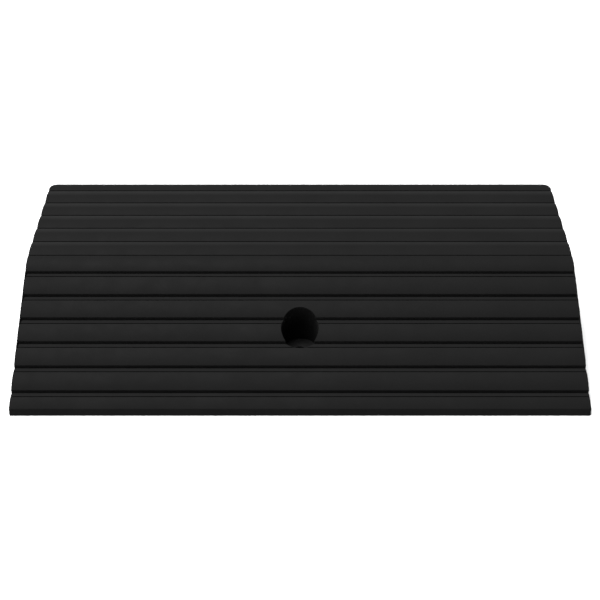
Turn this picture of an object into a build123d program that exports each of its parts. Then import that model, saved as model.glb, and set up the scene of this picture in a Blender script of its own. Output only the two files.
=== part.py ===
"""Rubber kerb ramp with a moulded-in steel seat for one ground anchor.

A wedge of black rubber lies on the ground against a kerb or a door sill. Its front half is an incline
and its rear half a plateau that still rises a little, both crossed by ribs. One hole with a wide
counterbore takes an anchor bolt. A washer and a sleeve are moulded into the foot of that hole.

Frame: millimetres, +Z up, the incline faces -Y and the kerb stands at +Y. The origin is the middle of
the ramp's footprint, on the ground. A "run" is a distance back from the front edge.
"""

import os
from math import radians, tan

from build123d import *

# Overall size
ramp_width = 600.0
ramp_depth = 300.0

# Running surface, measured along the edges of the ribs
incline_angle = 29.1
nose_height = 4.9
nose_run = 3.2
plateau_angle = 3.9
plateau_rear_height = 100.0

# Ribs
incline_pitch = 24.0
incline_first_run = 21.0
incline_grooves = 6
plateau_pitch = 25.0
plateau_first_run = 162.0
plateau_grooves = 6
crown_radius = 42.0
knee_radius = 26.0

# Grooves of the incline: a steep wall, a level ledge at its foot, and a notch where the next rib starts
incline_groove_width = 6.6
incline_wall_height = 3.6
incline_wall_lean = 0.6
notch_width = 1.2
notch_depth = 1.0

# The last of them, below the knee, is a little smaller
knee_groove_width = 6.1
knee_wall_height = 3.2

# Fine grooves of the plateau
plateau_groove_width = 1.6
plateau_groove_depth = 1.0
plateau_wall_lean = 0.2

# Grooves of the incline that a thin web closes at both ends
first_closed_groove = 2
last_closed_groove = 5
end_web_thickness = 1.0
end_web_rise = 0.9

# Rounded edges of the moulding
rib_front_radius = 1.4
fine_rib_radius = 0.5
rear_corner_radius = 9.0
front_corner_radius = 1.5
outer_edge_radius = 0.8
foot_chamfer = 0.8

# Pockets in the underside
skin_thickness = 17.0
wall_thickness = 20.0
pocket_web = 10.0
pocket_columns = 12
rows_behind_anchor = 4
pocket_corner_radius = 4.0

# Anchor hole and its steel seat
anchor_run = 82.5
counterbore_diameter = 40.0
seat_height = 20.0
boss_diameter = 64.0
washer_diameter = 50.0
washer_thickness = 3.0
bolt_hole_diameter = 13.0
sleeve_diameter = 18.0

half_depth = ramp_depth / 2
incline_rise = tan(radians(incline_angle))
plateau_rise = tan(radians(plateau_angle))
plateau_start_height = plateau_rear_height - plateau_rise * ramp_depth
knee_run = (plateau_start_height - nose_height) / (incline_rise - plateau_rise)
anchor_y = anchor_run - half_depth


def surface_height(run):
    """Height of the rib edges at a run: the lower of the incline's line and the plateau's line."""
    return min(nose_height + incline_rise * run, plateau_start_height + plateau_rise * run)


def incline_groove(index):
    """Corners (run, height) of one groove of the incline, from its front rim to its rear rim."""
    below_knee = index == incline_grooves - 1
    width = knee_groove_width if below_knee else incline_groove_width
    wall_height = knee_wall_height if below_knee else incline_wall_height
    rear_run = incline_first_run + incline_pitch * index
    front_run = rear_run - width
    rear_height = surface_height(rear_run)
    ledge_height = rear_height - wall_height
    return [
        (front_run, surface_height(front_run)),
        (front_run, ledge_height - notch_depth),
        (front_run + notch_width, ledge_height - notch_depth),
        (front_run + notch_width, ledge_height),
        (rear_run - incline_wall_lean, ledge_height),
        (rear_run, rear_height),
    ]


def plateau_groove(index):
    """Corners (run, height) of one fine groove of the plateau, from its front rim to its rear rim."""
    rear_run = plateau_first_run + plateau_pitch * index
    front_run = rear_run - plateau_groove_width
    rear_height = surface_height(rear_run)
    floor_height = rear_height - plateau_groove_depth
    return [
        (front_run, surface_height(front_run)),
        (front_run, floor_height),
        (rear_run - plateau_wall_lean, floor_height),
        (rear_run, rear_height),
    ]


# Every groove, from the front of the ramp to its rear
grooves = [incline_groove(index) for index in range(incline_grooves)]
grooves += [plateau_groove(index) for index in range(plateau_grooves)]


def to_frame(point):
    """Move a (run, height) point into the ramp's frame."""
    return (point[0] - half_depth, point[1])


def draw_outline(open_grooves):
    """Draw the ramp's closed side outline, with the listed grooves open."""
    rib_start = (nose_run, surface_height(nose_run))
    Line(to_frame((0, 0)), to_frame(rib_start))
    for index, corners in enumerate(grooves):
        rim_front = corners[0]
        rim_rear = corners[-1]
        spans_knee = rib_start[0] < knee_run < rim_front[0]
        radius = knee_radius if spans_knee else crown_radius
        RadiusArc(to_frame(rib_start), to_frame(rim_front), radius)
        if index in open_grooves:
            Polyline(*[to_frame(point) for point in corners])
        else:
            Line(to_frame(rim_front), to_frame(rim_rear))
        rib_start = rim_rear
    rear_top = (ramp_depth, plateau_rear_height)
    RadiusArc(to_frame(rib_start), to_frame(rear_top), crown_radius)
    Polyline(to_frame(rear_top), to_frame((ramp_depth, 0)), to_frame((0, 0)))


def corners_at(vertices, points):
    """The sketch vertices that lie on the given (run, height) points."""
    spots = [Vector(*to_frame(point)) for point in points]
    return [v for v in vertices if any((Vector(v.X, v.Y) - spot).length < 0.01 for spot in spots)]


def round_ribs(sketch, open_grooves):
    """Round the raised corners of every open groove, most of all the top of each wall of the incline."""
    strong_rims = []
    fine_rims = []
    for index in open_grooves:
        corners = grooves[index]
        fine_rims.append(corners[0])
        if index < incline_grooves:
            fine_rims.append(corners[3])
            strong_rims.append(corners[-1])
        else:
            fine_rims.append(corners[-1])
    fillet(corners_at(sketch.vertices(), strong_rims), rib_front_radius)
    fillet(corners_at(sketch.vertices(), fine_rims), fine_rib_radius)
    nose_and_rear = [(nose_run, surface_height(nose_run)), (ramp_depth, plateau_rear_height)]
    fillet(corners_at(sketch.vertices(), nose_and_rear), outer_edge_radius)


def draw_end_web():
    """Draw the thin web that closes the middle grooves at each end, from the ground up."""
    web_front = incline_first_run + incline_pitch * (first_closed_groove - 1)
    web_rear = incline_first_run + incline_pitch * last_closed_groove
    top = [(run, surface_height(run) + end_web_rise) for run in (web_front, web_rear)]
    Polyline(*[to_frame(point) for point in ((web_front, 0), *top, (web_rear, 0))], close=True)


# The pockets of the underside: a grid of rounded cells under a skin of even thickness.
# The web between its first two rows, and its middle web, cross under the anchor.
column_pitch = (ramp_width - 2 * wall_thickness + pocket_web) / pocket_columns
pocket_rear_run = ramp_depth - wall_thickness
row_pitch = (pocket_rear_run - anchor_run + pocket_web / 2) / rows_behind_anchor
pocket_front_run = anchor_run + pocket_web / 2 - row_pitch
pocket_centre_y = (pocket_front_run + pocket_rear_run) / 2 - half_depth

with BuildPart() as pockets:
    with BuildSketch():
        with Locations((0, pocket_centre_y)):
            with GridLocations(column_pitch, row_pitch, pocket_columns, rows_behind_anchor + 1):
                RectangleRounded(column_pitch - pocket_web, row_pitch - pocket_web, pocket_corner_radius)
        with Locations((0, anchor_y)):
            Circle(boss_diameter / 2, mode=Mode.SUBTRACT)
    extrude(amount=plateau_rear_height)
    with BuildSketch(Plane.YZ):
        with BuildLine():
            roof_runs = (pocket_front_run, knee_run, pocket_rear_run)
            roof = [(run, surface_height(run) - skin_thickness) for run in roof_runs]
            roof_corners = [(pocket_front_run, 0), *roof, (pocket_rear_run, 0)]
            Polyline(*[to_frame(point) for point in roof_corners], close=True)
        make_face()
    extrude(amount=ramp_width / 2, both=True, mode=Mode.INTERSECT)

# The rubber moulding
all_grooves = range(len(grooves))
closed_grooves = range(first_closed_groove, last_closed_groove + 1)
through_grooves = [index for index in all_grooves if index not in closed_grooves]
end_plane_x = ramp_width / 2

with BuildPart() as ramp_body:
    with BuildSketch(Plane.YZ) as middle_outline:
        with BuildLine():
            draw_outline(all_grooves)
        make_face()
        round_ribs(middle_outline, all_grooves)
    extrude(amount=end_plane_x - end_web_thickness, both=True)
    for side in (-1, 1):
        with BuildSketch(Plane.YZ.offset(side * end_plane_x)) as end_outline:
            with BuildLine():
                draw_outline(through_grooves)
            make_face()
            round_ribs(end_outline, through_grooves)
            with BuildLine():
                draw_end_web()
            make_face()
        extrude(amount=-side * end_web_thickness)
    with BuildSketch():
        footprint = Rectangle(ramp_width, ramp_depth)
        fillet(footprint.vertices().group_by(Axis.Y)[-1], rear_corner_radius)
        fillet(footprint.vertices().group_by(Axis.Y)[0], front_corner_radius)
    extrude(amount=2 * plateau_rear_height, mode=Mode.INTERSECT)
    foot_edges = ramp_body.faces().sort_by(Axis.Z)[0].outer_wire().edges()
    chamfer(foot_edges.sort_by(Axis.Y)[-1], foot_chamfer)
    add(pockets.part, mode=Mode.SUBTRACT)
    with Locations((0, anchor_y, seat_height)):
        above_seat = (Align.CENTER, Align.CENTER, Align.MIN)
        below_seat = (Align.CENTER, Align.CENTER, Align.MAX)
        Cylinder(counterbore_diameter / 2, plateau_rear_height, align=above_seat, mode=Mode.SUBTRACT)
        Cylinder(washer_diameter / 2, washer_thickness, align=below_seat, mode=Mode.SUBTRACT)
        Cylinder(sleeve_diameter / 2, seat_height, align=below_seat, mode=Mode.SUBTRACT)

# The steel washer at the foot of the counterbore, with its rim gripped by the rubber
with BuildPart() as seat_washer:
    with BuildSketch(Plane.XY.offset(seat_height - washer_thickness)):
        with Locations((0, anchor_y)):
            Circle(washer_diameter / 2)
            Circle(bolt_hole_diameter / 2, mode=Mode.SUBTRACT)
    extrude(amount=washer_thickness)

# The steel sleeve under it, which carries the bolt's pull to the ground past the rubber
with BuildPart() as anchor_sleeve:
    with BuildSketch():
        with Locations((0, anchor_y)):
            Circle(sleeve_diameter / 2)
            Circle(bolt_hole_diameter / 2, mode=Mode.SUBTRACT)
    extrude(amount=seat_height - washer_thickness)

ramp_body.part.label = "ramp_body"
seat_washer.part.label = "seat_washer"
anchor_sleeve.part.label = "anchor_sleeve"

os.makedirs("parts", exist_ok=True)
export_step(ramp_body.part, "parts/ramp_body.step")
export_step(seat_washer.part, "parts/seat_washer.step")
export_step(anchor_sleeve.part, "parts/anchor_sleeve.step")
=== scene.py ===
"""Studio picture of a black rubber kerb ramp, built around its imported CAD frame.

The moulding is lofted here from the CAD model's side profile, so that every edge of it is rounded.
Shapes are worked out in millimetres. A "run" is a distance back from the ramp's front edge, x is a
distance to the right of its middle, and to_metres() takes both into the frame, in metres, +Z up.
"""

import math

import bmesh
import bpy
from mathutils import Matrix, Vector


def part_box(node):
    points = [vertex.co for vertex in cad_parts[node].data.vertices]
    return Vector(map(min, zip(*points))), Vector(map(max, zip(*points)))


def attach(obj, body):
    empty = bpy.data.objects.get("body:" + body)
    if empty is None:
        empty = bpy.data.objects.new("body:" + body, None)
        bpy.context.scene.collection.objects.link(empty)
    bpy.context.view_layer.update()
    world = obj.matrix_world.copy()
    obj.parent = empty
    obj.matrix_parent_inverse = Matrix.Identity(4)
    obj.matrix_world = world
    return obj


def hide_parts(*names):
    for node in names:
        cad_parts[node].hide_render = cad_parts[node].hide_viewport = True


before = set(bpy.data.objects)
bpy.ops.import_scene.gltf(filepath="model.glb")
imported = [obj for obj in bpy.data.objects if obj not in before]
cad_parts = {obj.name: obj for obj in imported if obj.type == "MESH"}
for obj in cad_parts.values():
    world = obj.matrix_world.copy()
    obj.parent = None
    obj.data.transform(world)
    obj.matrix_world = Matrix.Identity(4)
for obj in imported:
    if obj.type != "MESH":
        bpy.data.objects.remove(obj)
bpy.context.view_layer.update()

MM = 0.001
BODY_LOW, BODY_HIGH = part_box("ramp_body")
WASHER_LOW, WASHER_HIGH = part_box("seat_washer")
SLEEVE_LOW, SLEEVE_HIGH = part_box("anchor_sleeve")

# Overall size of the moulding
HALF_WIDTH = (BODY_HIGH.x - BODY_LOW.x) / MM / 2
DEPTH = (BODY_HIGH.y - BODY_LOW.y) / MM
FRONT_Y = BODY_LOW.y
GROUND_Z = BODY_LOW.z

# Running surface, measured along the edges of the ribs
INCLINE_RISE = math.tan(math.radians(29.1))
PLATEAU_RISE = math.tan(math.radians(3.9))
NOSE_HEIGHT = 4.9
NOSE_RUN = 3.2
REAR_HEIGHT = 100.0

# Ribs, from the rear rim of one groove to the front rim of the next
INCLINE_RIMS = [21.0 + 24.0 * index for index in range(6)]
PLATEAU_RIMS = [162.0 + 25.0 * index for index in range(6)]
CROWN_RADIUS = 42.0
KNEE_RADIUS = 26.0
CROWN_STEPS = 9

# A groove of the incline is a notch, a level ledge and a steep wall; the one below the knee is smaller
GROOVE_WIDTH = 6.6
WALL_HEIGHT = 3.6
KNEE_GROOVE_WIDTH = 6.1
KNEE_WALL_HEIGHT = 3.2
WALL_LEAN = 0.6
NOTCH_WIDTH = 1.2
NOTCH_DEPTH = 1.0

# Fine grooves of the plateau
FINE_WIDTH = 1.6
FINE_DEPTH = 1.0
FINE_LEAN = 0.2

# Rounding of the profile's corners
NOSE_ROUND = 0.8
RIB_ROUND = 1.4
FINE_ROUND = 0.5
FOOT_ROUND = 0.3
ARC_STEPS = 4

# Rounding of the outline in plan, of its top edge, and the bevel of its rear foot.
# The edge steps are the shares of the top edge's rounding where the mesh has a line.
REAR_CORNER = 9.0
FRONT_CORNER = 1.5
EDGE_ROUND = 0.4
EDGE_STEPS = (1.0, 0.6, 0.3, 0.08)
FOOT_BEVEL = 0.8

# Spacing of the outlines that the moulding is lofted through: fine across the hole, coarse beside it
FINE_SPACING = 2.0
COARSE_SPACING = 12.0
FINE_HALF_WIDTH = 24.0
COARSE_OUTLINES = 22
LEAST_SPACING = 0.02

# Webs that close the middle grooves at both ends
WEB_THICKNESS = 1.0
WEB_DRAFT = 0.4
WEB_RISE = 0.9
WEB_FADE = 4.0
WEB_FRONT = INCLINE_RIMS[1]
WEB_REAR = INCLINE_RIMS[5]

# Pockets of the underside
SKIN = 17.0
SIDE_WALL = 20.0
POCKET_WEB = 10.0
POCKET_COLUMNS = 12
ROWS_BEHIND_ANCHOR = 4
POCKET_ROUND = 4.0
ROOF_ROUND = 1.5
LEAST_POCKET = 1.0
BOSS_RADIUS = 32.0

# Anchor hole. Its rim is rounded more at its sides, and the rounding starts a hair below the surface.
HOLE_RADIUS = 20.0
RIM_ROUND = 0.4
RIM_SIDE_ROUND = 0.4
RIM_SINK = 0.03
BOLT_RADIUS = 6.5
STEEL_ROUND = 0.4
HOLE_STEPS = 172

# How far the cutters reach below the ground
CUT_PAST = 2.0

# Edges steeper than this, in degrees, stay sharp in the shading
RUBBER_SHARP = 40.0
STEEL_SHARP = 50.0

# Stage, surround and lamp, in metres and watts. The lamp hangs high up, a little left and behind.
FLOOR_RADIUS = 1.8
FLOOR_GAP = 0.0002
FLOOR_TONE = 0.6
BACKDROP_RADIUS = 20.0
BACKDROP_STRENGTH = 1.2
WORLD_STRENGTH = 0.18
LAMP_PLACE = (-1.4, 0.5, 6.0)
LAMP_SIZE = 3.0
LAMP_POWER = 1250.0

# Camera: a 36 mm square frame, in front of and above the ramp, on its middle plane
LENS_MM = 63.16
SENSOR_MM = 36.0
CAMERA_BACK = 0.8018
CAMERA_HEIGHT = 0.7411
CAMERA_PITCH = 36.47

# The anchor's axis, and the steel round it, as the frame has them
ANCHOR_RUN = ((WASHER_LOW.y + WASHER_HIGH.y) / 2 - FRONT_Y) / MM
SEAT_HEIGHT = (WASHER_HIGH.z - GROUND_Z) / MM
WASHER_BOTTOM = (WASHER_LOW.z - GROUND_Z) / MM
WASHER_RADIUS = (WASHER_HIGH.x - WASHER_LOW.x) / MM / 2
SLEEVE_RADIUS = (SLEEVE_HIGH.x - SLEEVE_LOW.x) / MM / 2


# ---------------------------------------------------------------- shape of the moulding


def to_metres(x, run, height):
    """A point of the frame from its distances in millimetres."""
    return Vector((x * MM, FRONT_Y + run * MM, GROUND_Z + height * MM))


def surface_height(run):
    """Height of the rib edges: the lower of the incline's line and the plateau's line."""
    incline = NOSE_HEIGHT + INCLINE_RISE * run
    plateau = REAR_HEIGHT - PLATEAU_RISE * (DEPTH - run)
    return min(incline, plateau)


def arc_between(start, end, radius, steps):
    """Points inside an upward-bulging arc between two (run, height) points."""
    start = Vector(start)
    end = Vector(end)
    chord = end - start
    upward = Vector((-chord.y, chord.x)).normalized()
    centre = (start + end) / 2 - upward * math.sqrt(radius**2 - (chord.length / 2) ** 2)
    first = math.atan2(start.y - centre.y, start.x - centre.x)
    last = math.atan2(end.y - centre.y, end.x - centre.x)
    angles = [first + (last - first) * step / steps for step in range(1, steps)]
    return [(centre.x + radius * math.cos(a), centre.y + radius * math.sin(a)) for a in angles]


def incline_groove(rim):
    """Corners (run, height, rounding) of a groove of the incline: notch, ledge and steep wall."""
    at_knee = rim == INCLINE_RIMS[-1]
    front = rim - (KNEE_GROOVE_WIDTH if at_knee else GROOVE_WIDTH)
    ledge = surface_height(rim) - (KNEE_WALL_HEIGHT if at_knee else WALL_HEIGHT)
    return [
        (front, surface_height(front), FINE_ROUND),
        (front, ledge - NOTCH_DEPTH, FOOT_ROUND),
        (front + NOTCH_WIDTH, ledge - NOTCH_DEPTH, FOOT_ROUND),
        (front + NOTCH_WIDTH, ledge, FOOT_ROUND),
        (rim - WALL_LEAN, ledge, FOOT_ROUND),
        (rim, surface_height(rim), RIB_ROUND),
    ]


def plateau_groove(rim):
    """Corners (run, height, rounding) of a fine groove of the plateau."""
    front = rim - FINE_WIDTH
    floor = surface_height(rim) - FINE_DEPTH
    return [
        (front, surface_height(front), FINE_ROUND),
        (front, floor, FOOT_ROUND),
        (rim - FINE_LEAN, floor, FOOT_ROUND),
        (rim, surface_height(rim), FINE_ROUND),
    ]


def round_corners(corners):
    """The same outline with an arc at each corner that has a rounding."""
    points = [Vector(corners[0][:2])]
    for before, corner, after in zip(corners, corners[1:], corners[2:]):
        here = Vector(corner[:2])
        if corner[2] == 0:
            points.append(here)
            continue
        back = Vector(before[:2]) - here
        ahead = Vector(after[:2]) - here
        half_angle = back.angle(ahead) / 2
        reach = min(corner[2] / math.tan(half_angle), 0.45 * back.length, 0.45 * ahead.length)
        start = here + back.normalized() * reach
        end = here + ahead.normalized() * reach
        for step in range(ARC_STEPS + 1):
            share = step / ARC_STEPS
            points.append(start.lerp(here, share).lerp(here.lerp(end, share), share))
    points.append(Vector(corners[-1][:2]))
    return points


def side_profile():
    """The running surface from the ground at the nose to the top of the rear face."""
    corners = [(0.0, 0.0, 0.0), (NOSE_RUN, surface_height(NOSE_RUN), NOSE_ROUND)]
    grooves = [incline_groove(rim) for rim in INCLINE_RIMS]
    grooves += [plateau_groove(rim) for rim in PLATEAU_RIMS]
    for groove in grooves:
        rib_start = corners[-1][:2]
        on_knee = INCLINE_RIMS[-1] <= rib_start[0] < PLATEAU_RIMS[0]
        radius = KNEE_RADIUS if on_knee else CROWN_RADIUS
        crown = arc_between(rib_start, groove[0][:2], radius, CROWN_STEPS)
        corners += [(*point, 0.0) for point in crown]
        corners += groove
    rear_edge = (DEPTH, REAR_HEIGHT)
    last_rib = arc_between(corners[-1][:2], rear_edge, CROWN_RADIUS, CROWN_STEPS)
    corners += [(*point, 0.0) for point in last_rib]
    edge_slope = (REAR_HEIGHT - last_rib[-1][1]) / (DEPTH - last_rib[-1][0])
    for share in EDGE_STEPS:
        from_edge = EDGE_ROUND * share
        corners.append((DEPTH - from_edge, REAR_HEIGHT - edge_slope * from_edge, 0.0))
    corners.append((*rear_edge, 0.0))
    return round_corners(corners)


def rear_limit(x):
    """Run of the rear face at a distance from the middle, with the outline's rounded corner."""
    into_corner = abs(x) - (HALF_WIDTH - REAR_CORNER)
    if into_corner <= 0:
        return DEPTH
    return DEPTH - REAR_CORNER + math.sqrt(max(REAR_CORNER**2 - into_corner**2, 0.0))


def front_limit(x):
    """Run of the front edge at a distance from the middle, with the outline's rounded corner."""
    into_corner = abs(x) - (HALF_WIDTH - FRONT_CORNER)
    if into_corner <= 0:
        return 0.0
    return FRONT_CORNER - math.sqrt(max(FRONT_CORNER**2 - into_corner**2, 0.0))


def edge_distance(x, run):
    """Distance in plan from a point to the side or rear edge of the moulding."""
    into_side = abs(x) - (HALF_WIDTH - REAR_CORNER)
    into_rear = run - (DEPTH - REAR_CORNER)
    if into_side > 0 and into_rear > 0:
        return REAR_CORNER - math.hypot(into_side, into_rear)
    return min(HALF_WIDTH - abs(x), DEPTH - run)


def edge_drop(distance):
    """How far the rounded top edge lies below the surface at a distance from the edge."""
    if distance >= EDGE_ROUND:
        return 0.0
    return EDGE_ROUND - math.sqrt(EDGE_ROUND**2 - (EDGE_ROUND - max(distance, 0.0)) ** 2)


def web_share(x):
    """How far the end web fills a groove at x: none inside, all of it outside, drafted between."""
    share = (abs(x) - (HALF_WIDTH - WEB_THICKNESS - WEB_DRAFT)) / WEB_DRAFT
    share = min(max(share, 0.0), 1.0)
    return share * share * (3 - 2 * share)


def web_height(run):
    """Height of the end web's top, which fades into the ribs at its front and its rear."""
    fade = min((run - WEB_FRONT) / WEB_FADE, (WEB_REAR - run) / WEB_FADE, 1.0)
    return surface_height(run) + WEB_RISE * max(fade, 0.0)


def section(profile, x):
    """The closed outline of the moulding at a distance from its middle, as points of the frame."""
    last_rim = PLATEAU_RIMS[-1]
    squeeze = (rear_limit(x) - last_rim) / (DEPTH - last_rim)
    points = []
    for run, height in profile:
        if run > last_rim:
            run = last_rim + (run - last_rim) * squeeze
        run = max(run, front_limit(x))
        if WEB_FRONT < run < WEB_REAR:
            height += web_share(x) * max(web_height(run) - height, 0.0)
        if run > NOSE_RUN:
            height -= edge_drop(edge_distance(x, run))
        points.append(to_metres(x, run, height))
    points.append(to_metres(x, rear_limit(x), FOOT_BEVEL))
    points.append(to_metres(x, rear_limit(x) - FOOT_BEVEL, 0.0))
    return points


def stations():
    """Distances from the middle of the outlines to loft through, closest together where they change."""
    half = [FINE_SPACING * step for step in range(round(FINE_HALF_WIDTH / FINE_SPACING) + 1)]
    half += [FINE_HALF_WIDTH + COARSE_SPACING * step for step in range(1, COARSE_OUTLINES + 1)]
    corner_x = HALF_WIDTH - REAR_CORNER
    half += [corner_x + REAR_CORNER * math.sin(math.radians(angle)) for angle in range(0, 90, 6)]
    web_x = HALF_WIDTH - WEB_THICKNESS
    half += [web_x - WEB_DRAFT * share for share in (1.0, 0.75, 0.5, 0.25, 0.0)]
    half += [HALF_WIDTH - EDGE_ROUND * share for share in (*EDGE_STEPS, 0.0)]
    spaced = [0.0]
    for x in sorted(half):
        if x - spaced[-1] > LEAST_SPACING:
            spaced.append(x)
    return [-x for x in reversed(spaced[1:])] + spaced


def loft(name, outlines, ring=False):
    """A closed mesh through outlines of equally many points, with end caps, or joined up as a ring."""
    mesh = bpy.data.meshes.new(name)
    build = bmesh.new()
    rings = [[build.verts.new(point) for point in outline] for outline in outlines]
    followers = rings[1:] + rings[:1] if ring else rings[1:]
    for here, following in zip(rings, followers):
        for index in range(len(here)):
            ahead = (index + 1) % len(here)
            build.faces.new((here[index], here[ahead], following[ahead], following[index]))
    if not ring:
        build.faces.new(rings[0])
        build.faces.new(list(reversed(rings[-1])))
    bmesh.ops.remove_doubles(build, verts=build.verts, dist=1e-6)
    bmesh.ops.recalc_face_normals(build, faces=build.faces)
    build.to_mesh(mesh)
    build.free()
    piece = bpy.data.objects.new(name, mesh)
    bpy.context.scene.collection.objects.link(piece)
    return piece


# ---------------------------------------------------------------- what is cut out of the moulding


def top_height(profile, run):
    """Height of the top of the profile at a run."""
    best = 0.0
    for before, after in zip(profile, profile[1:]):
        if before.x <= run <= after.x and after.x > before.x:
            share = (run - before.x) / (after.x - before.x)
            best = max(best, before.y + (after.y - before.y) * share)
    return best


def lathe(name, wall_at, ring=False):
    """A mesh turned round the anchor's axis: a solid with end caps, or a ring with a hole through it.

    wall_at(angle) gives the (radius, height) points of its outline at an angle, always equally many.
    The columns stand half a step off the axes, where no outline of the moulding passes through them.
    """
    columns = []
    for step in range(HOLE_STEPS):
        angle = 2 * math.pi * (step + 0.5) / HOLE_STEPS
        across = math.cos(angle)
        along = math.sin(angle)
        outline = wall_at(angle)
        columns.append([to_metres(r * across, ANCHOR_RUN + r * along, height) for r, height in outline])
    levels = [list(level) for level in zip(*columns)]
    return loft(name, levels, ring)


def hole_cutter(profile):
    """The whole anchor hole: sleeve, washer and counterbore, whose rim comes out rounded."""

    def wall_at(angle):
        rounding = RIM_ROUND + RIM_SIDE_ROUND * abs(math.cos(angle))
        outer = HOLE_RADIUS + rounding
        rim = top_height(profile, ANCHOR_RUN + outer * math.sin(angle))
        wall = [(SLEEVE_RADIUS, -CUT_PAST), (SLEEVE_RADIUS, WASHER_BOTTOM)]
        wall += [(WASHER_RADIUS, WASHER_BOTTOM), (WASHER_RADIUS, SEAT_HEIGHT)]
        arc_start = rim - RIM_SINK - rounding
        wall += [(HOLE_RADIUS, SEAT_HEIGHT), (HOLE_RADIUS, arc_start)]
        for part in range(1, ARC_STEPS + 1):
            turn = math.pi / 2 * part / ARC_STEPS
            wall.append((outer - rounding * math.cos(turn), arc_start + rounding * math.sin(turn)))
        wall.append((outer, 2 * REAR_HEIGHT))
        return wall

    return lathe("hole_cutter", wall_at)


def steel_ring(name, inner, outer, low, high):
    """A steel ring on the anchor's axis with its edges broken."""
    edge = STEEL_ROUND
    outline = [(inner, low + edge), (inner + edge, low), (outer - edge, low), (outer, low + edge)]
    outline += [(outer, high - edge), (outer - edge, high), (inner + edge, high), (inner, high - edge)]
    steel = lathe(name, lambda angle: outline, ring=True)
    smooth(steel, STEEL_SHARP)
    return steel


def pocket_span(run, left, right, front, rear):
    """Left and right ends of a pocket at a run, inside its rounded corners and clear of the boss."""
    from_end = max(min(run - front, rear - run), 0.0)
    inset = 0.0
    if from_end < POCKET_ROUND:
        inset = POCKET_ROUND - math.sqrt(POCKET_ROUND**2 - (POCKET_ROUND - from_end) ** 2)
    left += inset
    right -= inset
    boss = math.sqrt(max(BOSS_RADIUS**2 - (run - ANCHOR_RUN) ** 2, 0.0))
    if right < 0:
        right = min(right, -boss)
    else:
        left = max(left, boss)
    return left, right


def pocket_cutter(name, left, right, front, rear):
    """One pocket of the underside, under a roof that follows the running surface."""
    near_end = [POCKET_ROUND * (1 - math.cos(math.radians(angle))) for angle in range(0, 91, 15)]
    runs = [front + reach for reach in near_end] + [rear - reach for reach in near_end]
    runs += [front + (rear - front) * step / 12 for step in range(2, 11)]
    outlines = []
    for run in sorted(set(round(run, 3) for run in runs)):
        start, end = pocket_span(run, left, right, front, rear)
        if end - start < LEAST_POCKET:
            continue
        roof = surface_height(run) - SKIN
        right_side = [
            (end, -CUT_PAST),
            (end, roof - ROOF_ROUND),
            (end - ROOF_ROUND / 3, roof - ROOF_ROUND / 3),
            (end - ROOF_ROUND, roof),
        ]
        outline = right_side + [(start + end - x, height) for x, height in reversed(right_side)]
        outlines.append([to_metres(x, run, height) for x, height in outline])
    return loft(name, outlines)


def pocket_cutters():
    """All the pockets: a grid whose first cross web and middle web meet under the anchor."""
    column_pitch = (2 * (HALF_WIDTH - SIDE_WALL) + POCKET_WEB) / POCKET_COLUMNS
    last_rear = DEPTH - SIDE_WALL
    row_pitch = (last_rear - ANCHOR_RUN + POCKET_WEB / 2) / ROWS_BEHIND_ANCHOR
    cutters = []
    for row in range(ROWS_BEHIND_ANCHOR + 1):
        rear = last_rear - row * row_pitch
        front = rear - row_pitch + POCKET_WEB
        for column in range(POCKET_COLUMNS):
            left = SIDE_WALL - HALF_WIDTH + column * column_pitch
            right = left + column_pitch - POCKET_WEB
            cutters.append(pocket_cutter(f"pocket_{row}_{column}", left, right, front, rear))
    return cutters


def join(pieces):
    """Put several meshes that don't touch into the first of them."""
    build = bmesh.new()
    for piece in pieces:
        build.from_mesh(piece.data)
    build.to_mesh(pieces[0].data)
    build.free()
    for piece in pieces[1:]:
        bpy.data.objects.remove(piece)
    return pieces[0]


def apply_modifiers(piece):
    """Turn a piece's modifiers into its mesh."""
    graph = bpy.context.evaluated_depsgraph_get()
    mesh = bpy.data.meshes.new_from_object(piece.evaluated_get(graph))
    piece.modifiers.clear()
    piece.data = mesh


def cut(piece, cutter):
    """Subtract a cutter from a piece and throw the cutter away."""
    modifier = piece.modifiers.new("cut", "BOOLEAN")
    modifier.operation = "DIFFERENCE"
    modifier.solver = "EXACT"
    modifier.object = cutter
    apply_modifiers(piece)
    bpy.data.objects.remove(cutter)


def smooth(piece, sharp_above):
    """Shade a piece smoothly, with flat faces kept flat and edges above an angle in degrees kept sharp."""
    piece.data.shade_smooth()
    piece.data.set_sharp_from_angle(angle=math.radians(sharp_above))
    modifier = piece.modifiers.new("weighted", "WEIGHTED_NORMAL")
    modifier.keep_sharp = True
    apply_modifiers(piece)


def make_moulding():
    """The rubber moulding, which stands for the CAD node ramp_body."""
    profile = side_profile()
    moulding = loft("rubber_moulding", [section(profile, x) for x in stations()])
    cut(moulding, join(pocket_cutters()))
    cut(moulding, hole_cutter(profile))
    smooth(moulding, RUBBER_SHARP)
    return moulding


# ---------------------------------------------------------------- materials


def new_material(name):
    """An empty node material, its node tree and its Principled shader."""
    material = bpy.data.materials.new(name)
    material.use_nodes = True
    tree = material.node_tree
    return material, tree, tree.nodes["Principled BSDF"]


def noise(tree, coordinates, scale, detail=3.0, roughness=0.5):
    """A noise texture on object coordinates. The scale is in features a metre."""
    node = tree.nodes.new("ShaderNodeTexNoise")
    node.inputs["Scale"].default_value = scale
    node.inputs["Detail"].default_value = detail
    node.inputs["Roughness"].default_value = roughness
    tree.links.new(coordinates, node.inputs["Vector"])
    return node.outputs["Fac"]


def remap(tree, value, low, high, out_low, out_high):
    """Map a value from one range to another, clamped."""
    node = tree.nodes.new("ShaderNodeMapRange")
    node.inputs["From Min"].default_value = low
    node.inputs["From Max"].default_value = high
    node.inputs["To Min"].default_value = out_low
    node.inputs["To Max"].default_value = out_high
    tree.links.new(value, node.inputs["Value"])
    return node.outputs["Result"]


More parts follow.
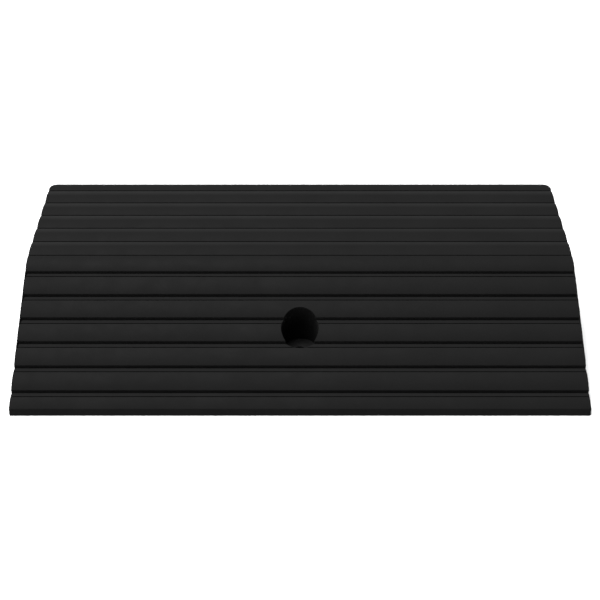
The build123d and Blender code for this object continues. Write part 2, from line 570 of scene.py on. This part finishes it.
def mix_colours(tree, factor, first, second):
    """Blend two colours by a factor."""
    node = tree.nodes.new("ShaderNodeMix")
    node.data_type = "RGBA"
    node.inputs["A"].default_value = (*first, 1.0)
    node.inputs["B"].default_value = (*second, 1.0)
    tree.links.new(factor, node.inputs["Factor"])
    return node.outputs["Result"]


def bump(tree, height, distance, below=None):
    """A bump layer of the given height in metres, on top of another one."""
    node = tree.nodes.new("ShaderNodeBump")
    node.inputs["Distance"].default_value = distance
    tree.links.new(height, node.inputs["Height"])
    if below is not None:
        tree.links.new(below, node.inputs["Normal"])
    return node.outputs["Normal"]


def rubber_material():
    """Compression-moulded black rubber: fine grain over a faint unevenness, matt, with a low sheen."""
    material, tree, shader = new_material("rubber")
    coordinates = tree.nodes.new("ShaderNodeTexCoord").outputs["Object"]
    mottle = remap(tree, noise(tree, coordinates, 24.0), 0.3, 0.7, 0.0, 1.0)
    colour = mix_colours(tree, mottle, (0.0054, 0.0054, 0.0054), (0.0060, 0.0060, 0.0060))
    tree.links.new(colour, shader.inputs["Base Color"])
    roughness = remap(tree, noise(tree, coordinates, 60.0), 0.3, 0.7, 0.58, 0.68)
    tree.links.new(roughness, shader.inputs["Roughness"])
    uneven = bump(tree, noise(tree, coordinates, 90.0), 0.00005)
    grain = bump(tree, noise(tree, coordinates, 1400.0, 2.0), 0.00008, uneven)
    tree.links.new(grain, shader.inputs["Normal"])
    facing = tree.nodes.new("ShaderNodeLayerWeight")
    facing.inputs["Blend"].default_value = 0.5
    sheen = remap(tree, facing.outputs["Facing"], 0.45, 1.0, 0.015, 0.3)
    tree.links.new(sheen, shader.inputs["Specular IOR Level"])
    return material


def steel_finish(name, dark, pale, least_rough, most_rough):
    """A slightly uneven finish between two colours and two roughnesses, as a material and its shader."""
    material, tree, shader = new_material(name)
    coordinates = tree.nodes.new("ShaderNodeTexCoord").outputs["Object"]
    patches = remap(tree, noise(tree, coordinates, 160.0), 0.3, 0.7, 0.0, 1.0)
    tree.links.new(mix_colours(tree, patches, dark, pale), shader.inputs["Base Color"])
    roughness = remap(tree, noise(tree, coordinates, 420.0), 0.3, 0.7, least_rough, most_rough)
    tree.links.new(roughness, shader.inputs["Roughness"])
    grain = bump(tree, noise(tree, coordinates, 2200.0), 0.00002)
    tree.links.new(grain, shader.inputs["Normal"])
    return material, shader


def coated_steel_material():
    """Steel under a matt black coating."""
    dark = (0.0030, 0.0030, 0.0030)
    pale = (0.0042, 0.0042, 0.0042)
    material, shader = steel_finish("blackened_steel", dark, pale, 0.5, 0.65)
    shader.inputs["Specular IOR Level"].default_value = 0.02
    return material


def plated_steel_material():
    """Zinc-plated steel."""
    dark = (0.5, 0.5, 0.51)
    pale = (0.6, 0.6, 0.6)
    material, shader = steel_finish("plated_steel", dark, pale, 0.28, 0.42)
    shader.inputs["Metallic"].default_value = 1.0
    return material


def dress(piece, material):
    """Give a piece its only material."""
    piece.data.materials.clear()
    piece.data.materials.append(material)


# ---------------------------------------------------------------- stage, light and camera


def make_floor():
    """A plain pale round floor, well past the camera's view."""
    mesh = bpy.data.meshes.new("floor")
    build = bmesh.new()
    bmesh.ops.create_circle(build, cap_ends=True, segments=128, radius=FLOOR_RADIUS)
    build.to_mesh(mesh)
    build.free()
    floor = bpy.data.objects.new("floor", mesh)
    floor.location.z = GROUND_Z - FLOOR_GAP
    bpy.context.scene.collection.objects.link(floor)
    material, _, shader = new_material("floor")
    shader.inputs["Base Color"].default_value = (FLOOR_TONE, FLOOR_TONE, FLOOR_TONE, 1.0)
    shader.inputs["Roughness"].default_value = 0.9
    shader.inputs["Specular IOR Level"].default_value = 0.1
    mesh.materials.append(material)


def make_backdrop():
    """A plain white shell round the whole set, which the camera sees but which lights nothing."""
    mesh = bpy.data.meshes.new("backdrop")
    build = bmesh.new()
    bmesh.ops.create_icosphere(build, subdivisions=4, radius=BACKDROP_RADIUS)
    build.to_mesh(mesh)
    build.free()
    backdrop = bpy.data.objects.new("backdrop", mesh)
    bpy.context.scene.collection.objects.link(backdrop)
    material, _, shader = new_material("backdrop")
    shader.inputs["Base Color"].default_value = (0.0, 0.0, 0.0, 1.0)
    shader.inputs["Emission Color"].default_value = (1.0, 1.0, 1.0, 1.0)
    shader.inputs["Emission Strength"].default_value = BACKDROP_STRENGTH
    mesh.materials.append(material)
    backdrop.visible_diffuse = False
    backdrop.visible_glossy = False
    backdrop.visible_transmission = False
    backdrop.visible_shadow = False


def make_lamp():
    """A large square soft lamp aimed at the middle of the ramp's footprint."""
    data = bpy.data.lights.new("overhead", "AREA")
    data.shape = "SQUARE"
    data.size = LAMP_SIZE
    data.energy = LAMP_POWER
    lamp = bpy.data.objects.new("overhead", data)
    lamp.location = LAMP_PLACE
    lamp.rotation_euler = (-Vector(LAMP_PLACE)).to_track_quat("-Z", "Y").to_euler()
    bpy.context.scene.collection.objects.link(lamp)


def make_world():
    """An even soft white surround."""
    world = bpy.data.worlds.new("studio")
    world.use_nodes = True
    background = world.node_tree.nodes["Background"]
    background.inputs["Color"].default_value = (1.0, 1.0, 1.0, 1.0)
    background.inputs["Strength"].default_value = WORLD_STRENGTH
    bpy.context.scene.world = world


def make_camera():
    """The camera looks down at the ramp from straight in front."""
    data = bpy.data.cameras.new("camera")
    data.lens = LENS_MM
    data.sensor_width = SENSOR_MM
    camera = bpy.data.objects.new("camera", data)
    camera.location = (0.0, FRONT_Y - CAMERA_BACK, GROUND_Z + CAMERA_HEIGHT)
    camera.rotation_euler = (math.radians(90.0 - CAMERA_PITCH), 0.0, 0.0)
    bpy.context.scene.collection.objects.link(camera)
    bpy.context.scene.camera = camera


# ---------------------------------------------------------------- the scene

moulding = make_moulding()
dress(moulding, rubber_material())
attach(moulding, "root")
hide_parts("ramp_body")

washer = steel_ring("steel_washer", BOLT_RADIUS, WASHER_RADIUS, WASHER_BOTTOM, SEAT_HEIGHT)
dress(washer, coated_steel_material())
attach(washer, "root")
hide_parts("seat_washer")

sleeve = steel_ring("steel_sleeve", BOLT_RADIUS, SLEEVE_RADIUS, 0.0, WASHER_BOTTOM)
dress(sleeve, plated_steel_material())
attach(sleeve, "root")
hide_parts("anchor_sleeve")

make_floor()
make_backdrop()
make_world()
make_lamp()
make_camera()
bpy.context.scene.view_settings.view_transform = "Standard"
